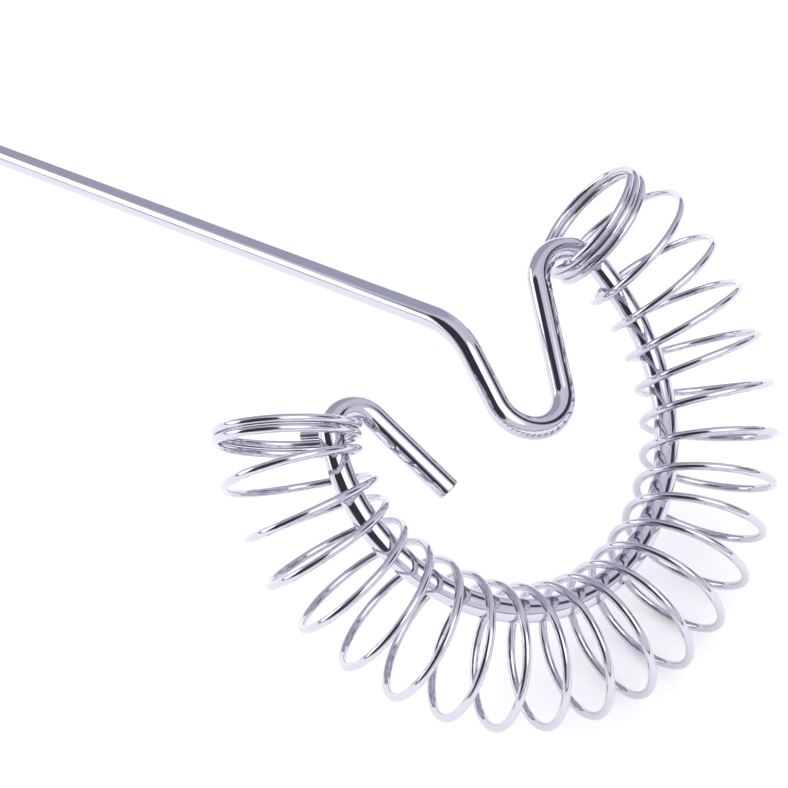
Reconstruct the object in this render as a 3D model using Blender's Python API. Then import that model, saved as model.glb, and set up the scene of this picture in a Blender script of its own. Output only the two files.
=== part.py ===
"""Spring coil whisk for a cup or a small bowl.

One round steel rod makes the hanging eye, the handle and the flat C-shaped head.
One open coil spring is threaded on the C and hangs loosely from it.
The whisk lies on a table on its hanging eye and the far turns of its spring, origin under its middle.
"""

import math

import bpy
import numpy as np
from mathutils import Matrix, Vector

MM = 0.001
LEFT = 1.0
RIGHT = -1.0

# ------------------------------------------------ rod, in millimetres and degrees
ROD_DIAMETER = 2.5
HANDLE_LENGTH = 138.0       # straight handle, from the neck's corner to the eye's first bend
HANDLE_SIDE = 139.0         # where the handle points, seen square on to the flat head
HANDLE_DROP = 42.5          # how far it points down out of the head's plane
NECK_RADIUS = 8.0           # bend between the handle and the head
NECK_CORNER = (-4.3, 10.1)  # in the head's plane, which has its origin inside the ring
NECK_HEADING = -58.0        # the way the rod runs on from the neck

# The flat head as the rod is formed: straight runs, and bends of (centreline radius, angle, side).
KINK_RUN = 8.8
KINK_BEND = (4.05, 162.5, LEFT)
CREST_RUN = 11.9
CREST_BEND = (4.1, 150.5, RIGHT)
RING_RUN = 1.9
RING_BENDS = ((24.6, 79.5, RIGHT), (17.6, 66.0, RIGHT), (18.6, 64.5, RIGHT))
HOOK_BEND = (2.75, 139.5, RIGHT)
TIP_RUN = 10.2

EYE_INNER_RADIUS = 6.0
EYE_BEND_RADIUS = 8.0       # small reverse bend that centres the eye on the handle
EYE_END_GAP = 1.2           # air between the rod's end and the shank that it closes on

# ------------------------------------------------ spring
WIRE_DIAMETER = 0.85
COIL_MEAN_RADIUS = 6.86
HANG_GAP = 0.35             # air between the rod and the turn that hangs on it
CLOSED_GAP = 0.05           # air between the close-wound turns at each end
CLOSED_PITCH = WIRE_DIAMETER + CLOSED_GAP
# Turns are counted from an outermost point at the crest end, and grow towards the tip end.
SPRING_START = -1.82
OPEN_START = 0.47           # the turns are close-wound before this count and after OPEN_END
OPEN_END = 22.66
SPRING_END = 24.66
COUNT_START_ANGLE = 71.0    # where the count starts, round the ring from the head's X axis
FIRST_TURN_STEP = 10.2      # angle round the ring from turn to turn at the crest end
LAST_TURN_STEP = 10.5
# Smooth changes along the spring, each given at six even stations from the crest end to the tip end.
HANG_SIDE = (77.0, 30.0, -12.0, -31.0, -22.0, -83.0)    # direction of the hang, 0 is outwards
TURN_LEAN = (9.0, 10.5, 3.5, -1.5, -14.0, -15.4)        # tilt of each turn out of square
SLACK = (0.1, 0.3, 0.1, 0.1, 0.5, 0.1)                  # how much less than a full hang
# The close-wound ends stand their own way: hang direction, lean, slack, and turn from square.
CREST_END = (8.8, 11.3, 1.3, 3.8)
TIP_END = (-13.0, -11.9, 0.37, -6.2)
CREST_BLEND = 1.0           # turns over which the open coil turns into a close-wound end
TIP_BLEND = 1.55
CREST_STACK = 2.061         # how far each close-wound end reaches along the ring, to where it stops
TIP_STACK = 1.8

# ------------------------------------------------ how the whisk lies
HEAD_SLOPE = 33.1           # slope of the ring's plane, down from the neck
HEAD_ROLL = -8.8

# ------------------------------------------------ mesh fineness
ARC_SAG = 0.02              # how far a chord may cut inside its arc
COIL_SEGMENTS = 16
ROD_BEVEL_RESOLUTION = 4
WIRE_BEVEL_RESOLUTION = 2

STEEL_COLOUR = (0.80, 0.80, 0.83, 1.0)
ROD_ROUGHNESS = 0.10
WIRE_ROUGHNESS = 0.14


def heading_vector(heading):
    return np.array([math.cos(math.radians(heading)), math.sin(math.radians(heading))])


def left_of(vector):
    return np.array([-vector[1], vector[0]])


def arc_steps(radius, angle):
    """Number of chords that keep an arc within ARC_SAG."""
    step = math.sqrt(8.0 * ARC_SAG / radius)
    return max(2, math.ceil(math.radians(angle) / step))


def straight(points, heading, length):
    points.append(points[-1] + length * heading_vector(heading))
    return heading


def bend(points, heading, radius, angle, side):
    """Add an arc that turns the rod to its left or right, and return the new heading."""
    centre = points[-1] + side * radius * left_of(heading_vector(heading))
    steps = arc_steps(radius, angle)
    for step in range(1, steps + 1):
        turned = heading + side * angle * step / steps
        points.append(centre - side * radius * left_of(heading_vector(turned)))
    return heading + side * angle


def head_outline():
    """Centreline of the flat head, from the neck's corner to the tip, and where its ring lies."""
    points = [np.array(NECK_CORNER)]
    heading = straight(points, NECK_HEADING, KINK_RUN)
    heading = bend(points, heading, *KINK_BEND)
    heading = straight(points, heading, CREST_RUN)
    ring_start = len(points) - 1
    heading = bend(points, heading, *CREST_BEND)
    heading = straight(points, heading, RING_RUN)
    for ring_bend in RING_BENDS:
        heading = bend(points, heading, *ring_bend)
    heading = bend(points, heading, *HOOK_BEND)
    ring_end = len(points) - 1
    straight(points, heading, TIP_RUN)
    return np.array(points), np.array(points[ring_start:ring_end])


def eye_outline():
    """The hanging eye in its own plane: X along the handle, starting where the handle ends."""
    eye_radius = EYE_INNER_RADIUS + ROD_DIAMETER / 2
    reach = EYE_BEND_RADIUS + eye_radius
    first_turn = math.degrees(math.acos(EYE_BEND_RADIUS / reach))
    shut = EYE_BEND_RADIUS + ROD_DIAMETER + EYE_END_GAP
    open_cosine = (reach ** 2 + eye_radius ** 2 - shut ** 2) / (2 * reach * eye_radius)
    sweep = 360.0 - math.degrees(math.acos(open_cosine))
    points = [np.zeros(2)]
    heading = bend(points, 0.0, EYE_BEND_RADIUS, first_turn, RIGHT)
    bend(points, heading, eye_radius, sweep, LEFT)
    return np.array(points)


def handle_frame():
    """The handle's direction out from the neck, and the level direction square to it."""
    side = heading_vector(HANDLE_SIDE)
    drop = math.radians(HANDLE_DROP)
    along = np.array([*(side * math.cos(drop)), -math.sin(drop)])
    across = np.array([*left_of(side), 0.0])
    return along, across


def fillet(corner, inwards, outwards, radius):
    """Arc that rounds the corner between two runs of the rod."""
    angle = math.acos(float(np.dot(inwards, outwards)))
    reach = radius * math.tan(angle / 2)
    towards_centre = (outwards - inwards) / np.linalg.norm(outwards - inwards)
    centre = corner + towards_centre * radius / math.cos(angle / 2)
    first = corner - inwards * reach
    steps = arc_steps(radius, math.degrees(angle))
    points = []
    for step in range(steps + 1):
        turned = angle * step / steps
        points.append(centre + math.cos(turned) * (first - centre) + math.sin(turned) * radius * inwards)
    return points


def rod_centreline():
    """The whole rod in the head's frame, from the end of the eye to the tip."""
    along, across = handle_frame()
    head, _ = head_outline()
    corner = np.array([*NECK_CORNER, 0.0])
    handle_end = corner + HANDLE_LENGTH * along
    eye = [handle_end + x * along + y * across for x, y in eye_outline()]
    head_direction = np.array([*heading_vector(NECK_HEADING), 0.0])
    neck = fillet(corner, -along, head_direction, NECK_RADIUS)
    return np.array(eye[::-1] + neck + [np.array([x, y, 0.0]) for x, y in head[1:]])


def smooth_between(stations, share):
    """Cubic curve through evenly spaced stations, at a share from 0 to 1 of the way along."""
    stations = np.array(stations)
    slopes = np.gradient(stations)
    place = min(max(share, 0.0), 1.0) * (len(stations) - 1)
    index = min(int(place), len(stations) - 2)
    t = place - index
    start = (1 + 2 * t) * (1 - t) ** 2 * stations[index] + t * (1 - t) ** 2 * slopes[index]
    end = t * t * (3 - 2 * t) * stations[index + 1] - t * t * (1 - t) * slopes[index + 1]
    return start + end


def coil_stance(turn):
    """Hang direction, lean, slack, turn from square and shift along the ring, of one turn."""
    share = (turn - OPEN_START) / (OPEN_END - OPEN_START)
    rows = [smooth_between(stations, share) for stations in (HANG_SIDE, TURN_LEAN, SLACK)]
    stance = np.array([*rows, 0.0, 0.0])
    crest_shift = CLOSED_PITCH * (OPEN_START - SPRING_START) - CREST_STACK
    tip_shift = TIP_STACK - CLOSED_PITCH * (SPRING_END - OPEN_END)
    ends = (((*CREST_END, crest_shift), turn - OPEN_START, CREST_BLEND),
            ((*TIP_END, tip_shift), OPEN_END - turn, TIP_BLEND))
    for end, distance, blend in ends:
        nearness = max(0.0, 1.0 - distance / blend)
        weight = nearness * nearness * (3 - 2 * nearness)
        stance = stance * (1 - weight) + np.array(end) * weight
    return stance


def coil_frame(turn, ring_angles, ring_radii):
    """Centre of an open turn, and the two directions that its circle is drawn with."""
    step = FIRST_TURN_STEP + (LAST_TURN_STEP - FIRST_TURN_STEP) * turn / OPEN_END / 2
    angle = COUNT_START_ANGLE - step * turn
    hang_side, lean, slack, twist, shift = coil_stance(turn)
    hang = COIL_MEAN_RADIUS - (WIRE_DIAMETER + ROD_DIAMETER) / 2 - HANG_GAP - slack
    out_of_ring = np.interp(-angle, -ring_angles, ring_radii) + hang * math.cos(math.radians(hang_side))
    above_ring = hang * math.sin(math.radians(hang_side))
    centre = np.array([*(heading_vector(angle) * out_of_ring), above_ring])
    across = np.array([*heading_vector(angle + twist), 0.0])
    onwards = np.array([*heading_vector(angle + twist - 90.0), 0.0])
    upwards = onwards * math.sin(math.radians(lean)) + np.array([0.0, 0.0, math.cos(math.radians(lean))])
    return centre + shift * onwards, across, upwards


def spring_centreline():
    """The coil spring in the head's frame, from its crest end to its tip end."""
    _, ring = head_outline()
    ring_angles = np.degrees(np.unwrap(np.arctan2(ring[:, 1], ring[:, 0])))
    ring_radii = np.hypot(ring[:, 0], ring[:, 1])
    count = math.ceil((SPRING_END - SPRING_START) * COIL_SEGMENTS)
    points = []
    for turn in np.linspace(SPRING_START, SPRING_END, count + 1):
        open_turn = min(max(turn, OPEN_START), OPEN_END)
        centre, across, upwards = coil_frame(open_turn, ring_angles, ring_radii)
        onwards = np.cross(across, upwards)
        centre = centre + onwards * CLOSED_PITCH * (turn - open_turn)
        phase = 2 * math.pi * turn
        points.append(centre + COIL_MEAN_RADIUS * (math.cos(phase) * across + math.sin(phase) * upwards))
    return np.array(points)


def resting_rotation():
    """Turn the head's frame: the handle runs back along -X and the ring slopes down along +X."""
    onwards = -heading_vector(HANDLE_SIDE)
    square = np.array([[*onwards, 0.0], [*left_of(onwards), 0.0], [0.0, 0.0, 1.0]])
    slope = Matrix.Rotation(math.radians(HEAD_SLOPE), 3, "Y")
    roll = Matrix.Rotation(math.radians(HEAD_ROLL), 3, "X")
    return np.array(slope @ roll) @ square


def steel(name, roughness):
    material = bpy.data.materials.new(name)
    material.use_nodes = True
    shader = material.node_tree.nodes["Principled BSDF"]
    shader.inputs["Base Color"].default_value = STEEL_COLOUR
    shader.inputs["Metallic"].default_value = 1.0
    shader.inputs["Roughness"].default_value = roughness
    return material


def bent_wire(name, points, diameter, bevel_resolution, material, collection):
    """A round wire along the points, with flat cut ends."""
    curve = bpy.data.curves.new(name, "CURVE")
    curve.dimensions = "3D"
    curve.bevel_depth = diameter / 2 * MM
    curve.bevel_resolution = bevel_resolution
    curve.use_fill_caps = True
    spline = curve.splines.new("POLY")
    spline.points.add(len(points) - 1)
    for spline_point, point in zip(spline.points, points):
        spline_point.co = (*(Vector(point) * MM), 1.0)
    curve.materials.append(material)
    wire = bpy.data.objects.new(name, curve)
    collection.objects.link(wire)
    return wire


def main():
    for old in list(bpy.data.objects):
        bpy.data.objects.remove(old)
    collection = bpy.data.collections.new("coil_whisk")
    bpy.context.scene.collection.children.link(collection)

    rest = resting_rotation()
    rod = rod_centreline() @ rest.T
    spring = spring_centreline() @ rest.T
    both = np.vstack([rod, spring])
    thickness = np.array([ROD_DIAMETER] * len(rod) + [WIRE_DIAMETER] * len(spring))[:, None] / 2
    low = (both - thickness).min(axis=0)
    high = (both + thickness).max(axis=0)
    under_middle = np.array([(low[0] + high[0]) / 2, (low[1] + high[1]) / 2, low[2]])

    bent_wire("frame_rod", rod - under_middle, ROD_DIAMETER, ROD_BEVEL_RESOLUTION,
              steel("polished_rod", ROD_ROUGHNESS), collection)
    bent_wire("coil_spring", spring - under_middle, WIRE_DIAMETER, WIRE_BEVEL_RESOLUTION,
              steel("drawn_wire", WIRE_ROUGHNESS), collection)


main()
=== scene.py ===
"""Fine steel surfaces, studio light and camera for the spring coil whisk.

The rod and the spring follow the same design rules as the CAD parts, with finer steps and cut ends.
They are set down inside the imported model's own box, so nothing is moved or resized.
"""

import math

import bpy
import numpy as np
from mathutils import Matrix, Vector


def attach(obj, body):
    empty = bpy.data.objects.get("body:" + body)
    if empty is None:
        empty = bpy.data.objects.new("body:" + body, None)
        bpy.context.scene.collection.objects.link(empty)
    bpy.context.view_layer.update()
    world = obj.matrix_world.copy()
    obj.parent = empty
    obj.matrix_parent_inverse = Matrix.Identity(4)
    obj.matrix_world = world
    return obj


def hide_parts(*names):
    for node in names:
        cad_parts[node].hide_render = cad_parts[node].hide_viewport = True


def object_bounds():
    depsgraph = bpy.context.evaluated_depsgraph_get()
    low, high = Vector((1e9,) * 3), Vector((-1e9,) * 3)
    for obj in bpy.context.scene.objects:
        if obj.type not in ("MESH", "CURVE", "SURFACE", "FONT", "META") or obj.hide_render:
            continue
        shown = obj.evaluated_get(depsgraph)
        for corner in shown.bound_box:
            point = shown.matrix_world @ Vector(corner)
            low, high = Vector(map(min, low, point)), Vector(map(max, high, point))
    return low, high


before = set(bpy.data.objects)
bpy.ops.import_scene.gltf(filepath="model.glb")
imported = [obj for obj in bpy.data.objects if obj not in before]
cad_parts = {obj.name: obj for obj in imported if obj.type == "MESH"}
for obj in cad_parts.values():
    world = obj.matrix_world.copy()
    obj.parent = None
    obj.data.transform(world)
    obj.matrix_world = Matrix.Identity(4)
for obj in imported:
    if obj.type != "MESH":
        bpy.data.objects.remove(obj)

cad_low, cad_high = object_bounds()

MM = 0.001
LEFT = 1.0
RIGHT = -1.0

# ------------------------------------------------ rod, in millimetres and degrees
ROD_DIAMETER = 2.5
HANDLE_LENGTH = 138.0       # straight handle, from the neck's corner to the eye's first bend
HANDLE_SIDE = 139.0         # where the handle points, seen square on to the flat head
HANDLE_DROP = 42.5          # how far it points down out of the head's plane
NECK_RADIUS = 8.0           # bend between the handle and the head
NECK_CORNER = (-4.3, 10.1)  # in the head's plane, which has its origin inside the ring
NECK_HEADING = -58.0        # the way the rod runs on from the neck

# The flat head as the rod is formed: straight runs, and bends of (centreline radius, angle, side).
KINK_RUN = 8.8
KINK_BEND = (4.05, 162.5, LEFT)
CREST_RUN = 11.9
CREST_BEND = (4.1, 150.5, RIGHT)
RING_RUN = 1.9
RING_BENDS = ((24.6, 79.5, RIGHT), (17.6, 66.0, RIGHT), (18.6, 64.5, RIGHT))
HOOK_BEND = (2.75, 139.5, RIGHT)
TIP_RUN = 10.2

EYE_INNER_RADIUS = 6.0
EYE_BEND_RADIUS = 8.0       # small reverse bend that centres the eye on the handle
EYE_END_GAP = 1.2           # air between the rod's end and the shank that it closes on

# ------------------------------------------------ spring
WIRE_DIAMETER = 0.85
COIL_MEAN_RADIUS = 6.86
HANG_GAP = 0.35             # air between the rod and the turn that hangs on it
CLOSED_GAP = 0.05           # air between the close-wound turns at each end
CLOSED_PITCH = WIRE_DIAMETER + CLOSED_GAP
# Turns are counted from an outermost point at the crest end, and grow towards the tip end.
SPRING_START = -1.82
OPEN_START = 0.47           # the turns are close-wound before this count and after OPEN_END
OPEN_END = 22.66
SPRING_END = 24.66
COUNT_START_ANGLE = 71.0    # where the count starts, round the ring from the head's X axis
FIRST_TURN_STEP = 10.2      # angle round the ring from turn to turn at the crest end
LAST_TURN_STEP = 10.5
# Smooth changes along the spring, each given at six even stations from the crest end to the tip end.
HANG_SIDE = (77.0, 30.0, -12.0, -31.0, -22.0, -83.0)    # direction of the hang, 0 is outwards
TURN_LEAN = (9.0, 10.5, 3.5, -1.5, -14.0, -15.4)        # tilt of each turn out of square
SLACK = (0.1, 0.3, 0.1, 0.1, 0.5, 0.1)                  # how much less than a full hang
# The close-wound ends stand their own way: hang direction, lean, slack, and turn from square.
CREST_END = (8.8, 11.3, 1.3, 3.8)
TIP_END = (-13.0, -11.9, 0.37, -6.2)
CREST_BLEND = 1.0           # turns over which the open coil turns into a close-wound end
TIP_BLEND = 1.55
CREST_STACK = 2.061         # how far each close-wound end reaches along the ring, to where it stops
TIP_STACK = 1.8

# ------------------------------------------------ how the whisk lies
HEAD_SLOPE = 33.1           # slope of the ring's plane, down from the neck
HEAD_ROLL = -8.8

# ------------------------------------------------ fineness and finish of the surfaces
ARC_SAG = 0.003             # how far a chord may cut inside its arc
COIL_SEGMENTS = 72
ROD_SIDES = 40
WIRE_SIDES = 20
ROD_EDGE_BREAK = 0.10       # small chamfer at the rod's cut ends
WIRE_EDGE_BREAK = 0.05
SHARP_ANGLE = 35.0          # edges that turn by more than this stay sharp

STEEL_COLOUR = (0.64, 0.63, 0.70, 1.0)
ROD_POLISH = (0.045, 0.5, 0.20)     # roughness, and the strength of the streaks and of the waves
WIRE_POLISH = (0.085, 0.8, 0.25)
POLISH_SPREAD = (0.75, 1.35)        # how far the roughness varies, as shares of its value
STREAK_SCALE = (0.12, 14.0, 1.0)    # drawing lines, per millimetre along the bar and round it
STREAK_SHADE = 0.93                 # how much darker the steel is in them
STREAK_HEIGHT = 0.000004            # this and the other heights are in metres
CLOUD_SCALE = 160.0                 # patches of better and worse polish, per metre
WAVE_SCALE = 240.0
WAVE_HEIGHT = 0.00006
CUT_COLOUR = (0.66, 0.66, 0.70, 1.0)
CUT_ROUGHNESS = (0.24, 0.42)
SHEAR_MARK_SCALE = (1500.0, 9000.0, 2500.0)
SHEAR_MARK_HEIGHT = 0.00002
SHEAR_MARK_STRENGTH = 0.4

# ------------------------------------------------ camera, in metres
CAMERA_PLACE = (0.16626, -0.08631, 0.17550)
CAMERA_RIGHT = (0.7041, 0.6992, -0.1244)
CAMERA_UP = (-0.4775, 0.5958, 0.6458)
CAMERA_LENS = 91.37         # this and the sensor are in millimetres
CAMERA_SENSOR = 36.0
CAMERA_CLIP = (0.005, 20.0)

# ------------------------------------------------ studio
FLOOR_SIZE = 6.0
FLOOR_GAP = 0.0003          # the floor lies this far below the whisk
FLOOR_COLOUR = (0.86, 0.86, 0.88, 1.0)
FLOOR_ROUGHNESS = 0.7
FLOOR_SPECULAR = 0.2
TENT_LIGHT = (1.55, 1.55, 1.57, 1.0)    # what lights the floor
TENT_CLOTH = (0.90, 0.89, 0.96, 1.0)    # what the steel sees where no side is named below
SEAM_HEIGHT = 0.06          # the dark seam where the tent meets the floor
SEAM_FADE = 1.5             # it has faded out at this many times its height
SEAM_COLOUR = (0.16, 0.16, 0.20, 1.0)
# The sides of the tent that the steel reflects. Each has the azimuth from +X and the elevation of its
# middle, the angles from there at which it starts and ends fading, all in degrees, and its colour.
# A later side covers an earlier one.
TENT_SIDES = (
    (90.0, 24.0, 44.0, 52.0, (0.80, 0.80, 0.88, 1.0)),          # shaded cloth beside the whisk
    (160.0, 22.0, 34.0, 46.0, (0.50, 0.52, 0.62, 1.0)),         # deeper shade beyond the handle
    (-95.0, 42.0, 35.0, 40.0, (0.055, 0.048, 0.065, 1.0)),      # dark opening
    (60.0, 25.0, 13.0, 17.0, (0.06, 0.06, 0.09, 1.0)),          # small dark opening
    (0.0, 58.0, 21.0, 26.0, (2.2, 2.2, 2.2, 1.0)),              # lamp above the ring
    (-146.0, 5.0, 24.0, 28.0, (2.0, 2.0, 2.0, 1.0)),            # low lamp along the handle
)


def heading_vector(heading):
    """Unit vector in the plane, from an angle in degrees."""
    return np.array([math.cos(math.radians(heading)), math.sin(math.radians(heading))])


def left_of(vector):
    return np.array([-vector[1], vector[0]])


def arc_steps(radius, angle):
    """Number of chords that keep an arc within ARC_SAG."""
    step = math.sqrt(8.0 * ARC_SAG / radius)
    return max(2, math.ceil(math.radians(angle) / step))


def straight(points, heading, length):
    points.append(points[-1] + length * heading_vector(heading))
    return heading


def bend(points, heading, radius, angle, side):
    """Add an arc that turns the rod to its left or right, and return the new heading."""
    centre = points[-1] + side * radius * left_of(heading_vector(heading))
    steps = arc_steps(radius, angle)
    for step in range(1, steps + 1):
        turned = heading + side * angle * step / steps
        points.append(centre - side * radius * left_of(heading_vector(turned)))
    return heading + side * angle


def head_outline():
    """Centreline of the flat head, from the neck's corner to the tip, and where its ring lies."""
    points = [np.array(NECK_CORNER)]
    heading = straight(points, NECK_HEADING, KINK_RUN)
    heading = bend(points, heading, *KINK_BEND)
    heading = straight(points, heading, CREST_RUN)
    ring_start = len(points) - 1
    heading = bend(points, heading, *CREST_BEND)
    heading = straight(points, heading, RING_RUN)
    for ring_bend in RING_BENDS:
        heading = bend(points, heading, *ring_bend)
    heading = bend(points, heading, *HOOK_BEND)
    ring_end = len(points) - 1
    straight(points, heading, TIP_RUN)
    return np.array(points), np.array(points[ring_start:ring_end])


def eye_outline():
    """The hanging eye in its own plane: X along the handle, starting where the handle ends."""
    eye_radius = EYE_INNER_RADIUS + ROD_DIAMETER / 2
    reach = EYE_BEND_RADIUS + eye_radius
    first_turn = math.degrees(math.acos(EYE_BEND_RADIUS / reach))
    shut = EYE_BEND_RADIUS + ROD_DIAMETER + EYE_END_GAP
    open_cosine = (reach ** 2 + eye_radius ** 2 - shut ** 2) / (2 * reach * eye_radius)
    sweep = 360.0 - math.degrees(math.acos(open_cosine))
    points = [np.zeros(2)]
    heading = bend(points, 0.0, EYE_BEND_RADIUS, first_turn, RIGHT)
    bend(points, heading, eye_radius, sweep, LEFT)
    return np.array(points)


def handle_frame():
    """The handle's direction out from the neck, and the level direction square to it."""
    side = heading_vector(HANDLE_SIDE)
    drop = math.radians(HANDLE_DROP)
    along = np.array([*(side * math.cos(drop)), -math.sin(drop)])
    across = np.array([*left_of(side), 0.0])
    return along, across


def fillet(corner, inwards, outwards, radius):
    """Arc that rounds the corner between two runs of the rod."""
    angle = math.acos(float(np.dot(inwards, outwards)))
    reach = radius * math.tan(angle / 2)
    towards_centre = (outwards - inwards) / np.linalg.norm(outwards - inwards)
    centre = corner + towards_centre * radius / math.cos(angle / 2)
    first = corner - inwards * reach
    steps = arc_steps(radius, math.degrees(angle))
    points = []
    for step in range(steps + 1):
        turned = angle * step / steps
        points.append(centre + math.cos(turned) * (first - centre) + math.sin(turned) * radius * inwards)
    return points


def rod_centreline():
    """The whole rod in the head's frame, from the end of the eye to the tip."""
    along, across = handle_frame()
    head, _ = head_outline()
    corner = np.array([*NECK_CORNER, 0.0])
    handle_end = corner + HANDLE_LENGTH * along
    eye = [handle_end + x * along + y * across for x, y in eye_outline()]
    head_direction = np.array([*heading_vector(NECK_HEADING), 0.0])
    neck = fillet(corner, -along, head_direction, NECK_RADIUS)
    return np.array(eye[::-1] + neck + [np.array([x, y, 0.0]) for x, y in head[1:]])


def smooth_between(stations, share):
    """Cubic curve through evenly spaced stations, at a share from 0 to 1 of the way along."""
    stations = np.array(stations)
    slopes = np.gradient(stations)
    place = min(max(share, 0.0), 1.0) * (len(stations) - 1)
    index = min(int(place), len(stations) - 2)
    t = place - index
    start = (1 + 2 * t) * (1 - t) ** 2 * stations[index] + t * (1 - t) ** 2 * slopes[index]
    end = t * t * (3 - 2 * t) * stations[index + 1] - t * t * (1 - t) * slopes[index + 1]
    return start + end


def coil_stance(turn):
    """Hang direction, lean, slack, turn from square and shift along the ring, of one turn."""
    share = (turn - OPEN_START) / (OPEN_END - OPEN_START)
    rows = [smooth_between(stations, share) for stations in (HANG_SIDE, TURN_LEAN, SLACK)]
    stance = np.array([*rows, 0.0, 0.0])
    crest_shift = CLOSED_PITCH * (OPEN_START - SPRING_START) - CREST_STACK
    tip_shift = TIP_STACK - CLOSED_PITCH * (SPRING_END - OPEN_END)
    ends = (((*CREST_END, crest_shift), turn - OPEN_START, CREST_BLEND),
            ((*TIP_END, tip_shift), OPEN_END - turn, TIP_BLEND))
    for end, distance, blend in ends:
        nearness = max(0.0, 1.0 - distance / blend)
        weight = nearness * nearness * (3 - 2 * nearness)
        stance = stance * (1 - weight) + np.array(end) * weight
    return stance


def coil_frame(turn, ring_angles, ring_radii):
    """Centre of an open turn, and the two directions that its circle is drawn with."""
    step = FIRST_TURN_STEP + (LAST_TURN_STEP - FIRST_TURN_STEP) * turn / OPEN_END / 2
    angle = COUNT_START_ANGLE - step * turn
    hang_side, lean, slack, twist, shift = coil_stance(turn)
    hang = COIL_MEAN_RADIUS - (WIRE_DIAMETER + ROD_DIAMETER) / 2 - HANG_GAP - slack
    out_of_ring = np.interp(-angle, -ring_angles, ring_radii) + hang * math.cos(math.radians(hang_side))
    above_ring = hang * math.sin(math.radians(hang_side))
    centre = np.array([*(heading_vector(angle) * out_of_ring), above_ring])
    across = np.array([*heading_vector(angle + twist), 0.0])
    onwards = np.array([*heading_vector(angle + twist - 90.0), 0.0])
    upwards = onwards * math.sin(math.radians(lean)) + np.array([0.0, 0.0, math.cos(math.radians(lean))])
    return centre + shift * onwards, across, upwards


def spring_centreline():
    """The coil spring in the head's frame, from its crest end to its tip end."""
    _, ring = head_outline()
    ring_angles = np.degrees(np.unwrap(np.arctan2(ring[:, 1], ring[:, 0])))
    ring_radii = np.hypot(ring[:, 0], ring[:, 1])
    count = math.ceil((SPRING_END - SPRING_START) * COIL_SEGMENTS)
    points = []
    for turn in np.linspace(SPRING_START, SPRING_END, count + 1):
        open_turn = min(max(turn, OPEN_START), OPEN_END)
        centre, across, upwards = coil_frame(open_turn, ring_angles, ring_radii)
        onwards = np.cross(across, upwards)
        centre = centre + onwards * CLOSED_PITCH * (turn - open_turn)
        phase = 2 * math.pi * turn
        points.append(centre + COIL_MEAN_RADIUS * (math.cos(phase) * across + math.sin(phase) * upwards))
    return np.array(points)


def resting_rotation():
    """Turn the head's frame: the handle runs back along -X and the ring slopes down along +X."""
    onwards = -heading_vector(HANDLE_SIDE)
    square = np.array([[*onwards, 0.0], [*left_of(onwards), 0.0], [0.0, 0.0, 1.0]])
    slope = Matrix.Rotation(math.radians(HEAD_SLOPE), 3, "Y")
    roll = Matrix.Rotation(math.radians(HEAD_ROLL), 3, "X")
    return np.array(slope @ roll) @ square


def tube_rings(points, radius, edge_break, sides):
    """Rings of vertices along the centreline, without twist, and the place of each ring's middle.

    The first and the last two rings make the broken edges of the cut ends.
    """
    points = np.asarray(points)
    steps = np.diff(points, axis=0)
    steps /= np.linalg.norm(steps, axis=1)[:, None]
    tangents = np.vstack([steps[:1], steps[1:] + steps[:-1], steps[-1:]])
    tangents /= np.linalg.norm(tangents, axis=1)[:, None]
    first_end = points[0] + tangents[0] * edge_break
    last_end = points[-1] - tangents[-1] * edge_break
    spots = [points[0], first_end, *points[1:-1], last_end, points[-1]]
    ways = [tangents[0], tangents[0], *tangents[1:-1], tangents[-1], tangents[-1]]
    radii = [radius - edge_break, *[radius] * len(points), radius - edge_break]
    side = np.cross(ways[0], [0.0, 0.0, 1.0])
    angles = np.linspace(0.0, 2 * math.pi, sides, endpoint=False)
    rings = []
    for spot, way, ring_radius in zip(spots, ways, radii):
        side = side - way * np.dot(side, way)
        side /= np.linalg.norm(side)
        other = np.cross(way, side)
        circle = np.outer(np.cos(angles), side) + np.outer(np.sin(angles), other)
        rings.append(spot + ring_radius * circle)
    return np.array(rings), np.array(spots)


def round_bar(name, points, diameter, edge_break, sides, body_material, end_material):
    """A round bar along the points. Its UV map runs along it and round it, both in millimetres."""
    rings, spots = tube_rings(points, diameter / 2, edge_break, sides)
    along = np.concatenate([[0.0], np.cumsum(np.linalg.norm(np.diff(spots, axis=0), axis=1))])
    faces = []
    for ring in range(len(rings) - 1):
        for side in range(sides):
            after = (side + 1) % sides
            faces.append((ring * sides + side, ring * sides + after,
                          (ring + 1) * sides + after, (ring + 1) * sides + side))
    last = (len(rings) - 1) * sides
    caps = [tuple(range(sides - 1, -1, -1)), tuple(range(last, last + sides))]
    mesh = bpy.data.meshes.new(name)
    mesh.from_pydata((rings.reshape(-1, 3) * MM).tolist(), [], faces + caps)
    layer = mesh.uv_layers.new(name="bar")
    round_step = math.pi * diameter / sides
    for polygon in mesh.polygons:
        is_cap = len(polygon.vertices) != 4
        polygon.material_index = 1 if is_cap else 0
        for corner, vertex in zip(polygon.loop_indices, polygon.vertices):
            ring, side = divmod(vertex, sides)
            crosses_seam = side < polygon.vertices[0] % sides and not is_cap
            if crosses_seam:
                side += sides
            layer.data[corner].uv = (along[ring], side * round_step)
    mesh.materials.append(body_material)
    mesh.materials.append(end_material)
    mesh.shade_smooth()
    mesh.set_sharp_from_angle(angle=math.radians(SHARP_ANGLE))
    bar = bpy.data.objects.new(name, mesh)
    bpy.context.scene.collection.objects.link(bar)
    return bar


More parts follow.
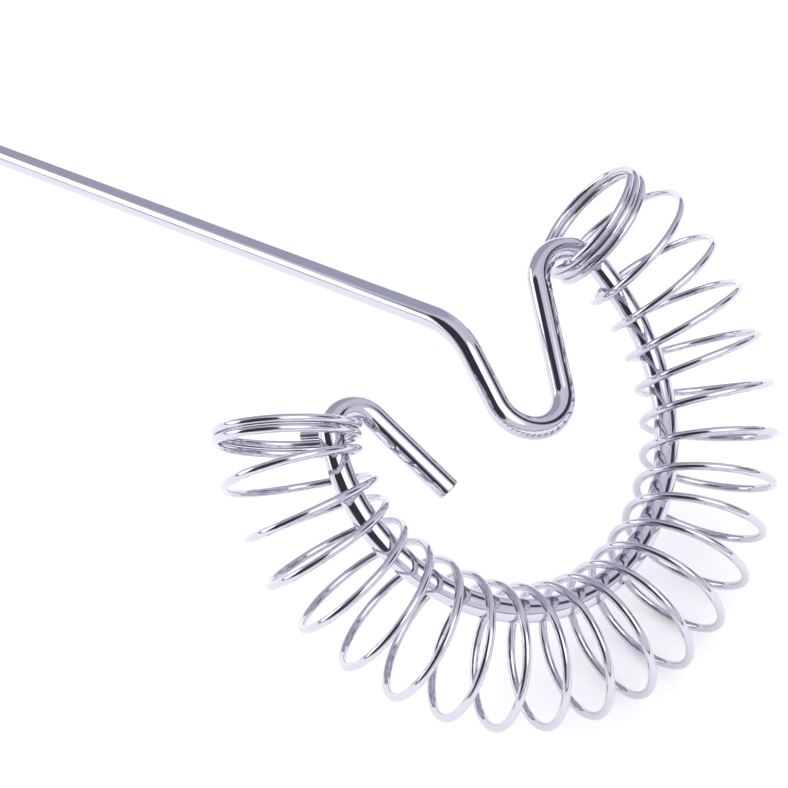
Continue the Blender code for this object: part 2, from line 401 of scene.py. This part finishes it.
class Nodes:
    """Short calls for a material's nodes."""

    def __init__(self, tree):
        self.tree = tree

    def add(self, kind, **settings):
        node = self.tree.nodes.new(kind)
        for key, value in settings.items():
            setattr(node, key, value)
        return node

    def link(self, output, socket):
        self.tree.links.new(output, socket)

    def noise(self, vector, scale, detail=3.0, roughness=0.5):
        """Soft random values from 0 to 1."""
        node = self.add("ShaderNodeTexNoise")
        node.inputs["Scale"].default_value = scale
        node.inputs["Detail"].default_value = detail
        node.inputs["Roughness"].default_value = roughness
        self.link(vector, node.inputs["Vector"])
        return node.outputs["Fac"]

    def stretched(self, source, scale):
        """Coordinates with each axis scaled by itself."""
        node = self.add("ShaderNodeMapping")
        node.inputs["Scale"].default_value = scale
        self.link(source, node.inputs["Vector"])
        return node.outputs["Vector"]

    def remap(self, value, low, high, to_low, to_high):
        """The range from low to high becomes the range from to_low to to_high."""
        node = self.add("ShaderNodeMapRange")
        for key, number in (("From Min", low), ("From Max", high), ("To Min", to_low), ("To Max", to_high)):
            node.inputs[key].default_value = number
        self.link(value, node.inputs["Value"])
        return node.outputs["Result"]

    def side_of_tent(self, direction, azimuth, elevation, core, edge):
        """1 within core degrees of a direction, and 0 past edge degrees."""
        node = self.add("ShaderNodeVectorMath", operation="DOT_PRODUCT")
        self.link(direction, node.inputs[0])
        level = math.cos(math.radians(elevation))
        node.inputs[1].default_value = (level * math.cos(math.radians(azimuth)),
                                        level * math.sin(math.radians(azimuth)),
                                        math.sin(math.radians(elevation)))
        return self.remap(node.outputs["Value"], math.cos(math.radians(edge)),
                          math.cos(math.radians(core)), 0.0, 1.0)

    def blend(self, factor, first, first_colour, second_colour):
        """From the first colour to the second as factor goes from 0 to 1; first is a socket or None."""
        node = self.add("ShaderNodeMix", data_type="RGBA")
        self.link(factor, node.inputs["Factor"])
        node.inputs["A"].default_value = first_colour
        node.inputs["B"].default_value = second_colour
        if first is not None:
            self.link(first, node.inputs["A"])
        return node.outputs["Result"]

    def bump(self, height, distance, strength, below=None):
        node = self.add("ShaderNodeBump")
        node.inputs["Distance"].default_value = distance
        node.inputs["Strength"].default_value = strength
        self.link(height, node.inputs["Height"])
        if below is not None:
            self.link(below, node.inputs["Normal"])
        return node.outputs["Normal"]


def steel_material(name):
    """A plain metal material, with its nodes and its shader."""
    material = bpy.data.materials.new(name)
    material.use_nodes = True
    shader = material.node_tree.nodes["Principled BSDF"]
    shader.inputs["Metallic"].default_value = 1.0
    return material, Nodes(material.node_tree), shader


def polished_steel(name, roughness, streak_strength, wave_strength):
    """Bright stainless steel: drawing lines along the bar, faint waviness, and polish that varies."""
    material, nodes, shader = steel_material(name)
    uv = nodes.add("ShaderNodeTexCoord").outputs["UV"]
    place = nodes.add("ShaderNodeTexCoord").outputs["Object"]
    streaks = nodes.noise(nodes.stretched(uv, STREAK_SCALE), 1.0, 4.0, 0.6)
    clouds = nodes.noise(place, CLOUD_SCALE, 2.0)
    waves = nodes.noise(place, WAVE_SCALE, 1.0)

    smoothest, roughest = (roughness * share for share in POLISH_SPREAD)
    nodes.link(nodes.remap(clouds, 0.3, 0.7, smoothest, roughest), shader.inputs["Roughness"])
    streak_colour = tuple(STREAK_SHADE * part for part in STEEL_COLOUR[:3]) + (1.0,)
    tint = nodes.blend(nodes.remap(streaks, 0.35, 0.65, 0.0, 1.0), None, STEEL_COLOUR, streak_colour)
    nodes.link(tint, shader.inputs["Base Color"])
    lines = nodes.bump(streaks, STREAK_HEIGHT, streak_strength)
    nodes.link(nodes.bump(waves, WAVE_HEIGHT, wave_strength, lines), shader.inputs["Normal"])
    return material


def sheared_steel(name):
    """The cut ends: duller, with the marks that shearing leaves."""
    material, nodes, shader = steel_material(name)
    shader.inputs["Base Color"].default_value = CUT_COLOUR
    place = nodes.add("ShaderNodeTexCoord").outputs["Object"]
    marks = nodes.noise(nodes.stretched(place, SHEAR_MARK_SCALE), 1.0)
    nodes.link(nodes.remap(marks, 0.3, 0.7, *CUT_ROUGHNESS), shader.inputs["Roughness"])
    nodes.link(nodes.bump(marks, SHEAR_MARK_HEIGHT, SHEAR_MARK_STRENGTH), shader.inputs["Normal"])
    return material


def whisk_pieces():
    """The rod and the spring at rest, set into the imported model's box."""
    rest = resting_rotation()
    rod = rod_centreline() @ rest.T
    spring = spring_centreline() @ rest.T
    both = np.vstack([rod, spring])
    thickness = np.array([ROD_DIAMETER] * len(rod) + [WIRE_DIAMETER] * len(spring))[:, None] / 2
    low = (both - thickness).min(axis=0)
    high = (both + thickness).max(axis=0)
    cad_middle = (np.array(cad_low) + np.array(cad_high)) / 2 / MM
    shift = cad_middle - (low + high) / 2
    ends = sheared_steel("cut_steel")
    rod_piece = round_bar("rod_surface", rod + shift, ROD_DIAMETER, ROD_EDGE_BREAK, ROD_SIDES,
                          polished_steel("rod_polish", *ROD_POLISH), ends)
    spring_piece = round_bar("spring_surface", spring + shift, WIRE_DIAMETER, WIRE_EDGE_BREAK, WIRE_SIDES,
                             polished_steel("wire_polish", *WIRE_POLISH), ends)
    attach(rod_piece, "rod")
    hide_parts("frame_rod")
    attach(spring_piece, "spring")
    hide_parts("coil_spring")


def camera():
    """The camera above the spring's side of the ring, square to its right and up directions."""
    data = bpy.data.cameras.new("camera")
    data.lens = CAMERA_LENS
    data.sensor_width = CAMERA_SENSOR
    data.clip_start, data.clip_end = CAMERA_CLIP
    seen_by = bpy.data.objects.new("camera", data)
    right = Vector(CAMERA_RIGHT).normalized()
    up = Vector(CAMERA_UP)
    up = (up - right * up.dot(right)).normalized()
    back = right.cross(up)
    seen_by.matrix_world = Matrix((right, up, back)).transposed().to_4x4()
    seen_by.matrix_world.translation = Vector(CAMERA_PLACE)
    bpy.context.scene.collection.objects.link(seen_by)
    bpy.context.scene.camera = seen_by


def floor():
    """A plain pale sheet just below the whisk."""
    bpy.ops.mesh.primitive_plane_add(size=FLOOR_SIZE, location=(0.0, 0.0, cad_low[2] - FLOOR_GAP))
    sheet = bpy.context.object
    sheet.name = "floor"
    material = bpy.data.materials.new("floor")
    material.use_nodes = True
    shader = material.node_tree.nodes["Principled BSDF"]
    shader.inputs["Base Color"].default_value = FLOOR_COLOUR
    shader.inputs["Roughness"].default_value = FLOOR_ROUGHNESS
    shader.inputs["Specular IOR Level"].default_value = FLOOR_SPECULAR
    sheet.data.materials.append(material)


def studio():
    """A white tent: even light on the floor, and white and dark sides that the steel reflects."""
    world = bpy.data.worlds.new("tent")
    bpy.context.scene.world = world
    world.use_nodes = True
    nodes = Nodes(world.node_tree)
    background = world.node_tree.nodes["Background"]
    rays = nodes.add("ShaderNodeLightPath")
    direction = nodes.add("ShaderNodeTexCoord").outputs["Generated"]
    seen = None
    for azimuth, elevation, core, edge, colour in TENT_SIDES:
        inside = nodes.side_of_tent(direction, azimuth, elevation, core, edge)
        seen = nodes.blend(inside, seen, TENT_CLOTH, colour)
    height = nodes.add("ShaderNodeSeparateXYZ")
    nodes.link(direction, height.inputs["Vector"])
    in_seam = nodes.remap(height.outputs["Z"], SEAM_HEIGHT, SEAM_HEIGHT * SEAM_FADE, 1.0, 0.0)
    seen = nodes.blend(in_seam, seen, TENT_CLOTH, SEAM_COLOUR)
    mix = nodes.add("ShaderNodeMix", data_type="RGBA")
    nodes.link(rays.outputs["Is Glossy Ray"], mix.inputs["Factor"])
    mix.inputs["A"].default_value = TENT_LIGHT
    nodes.link(seen, mix.inputs["B"])
    nodes.link(mix.outputs["Result"], background.inputs["Color"])


scene = bpy.context.scene
scene.view_settings.view_transform = "Standard"
whisk_pieces()
camera()
floor()
studio()
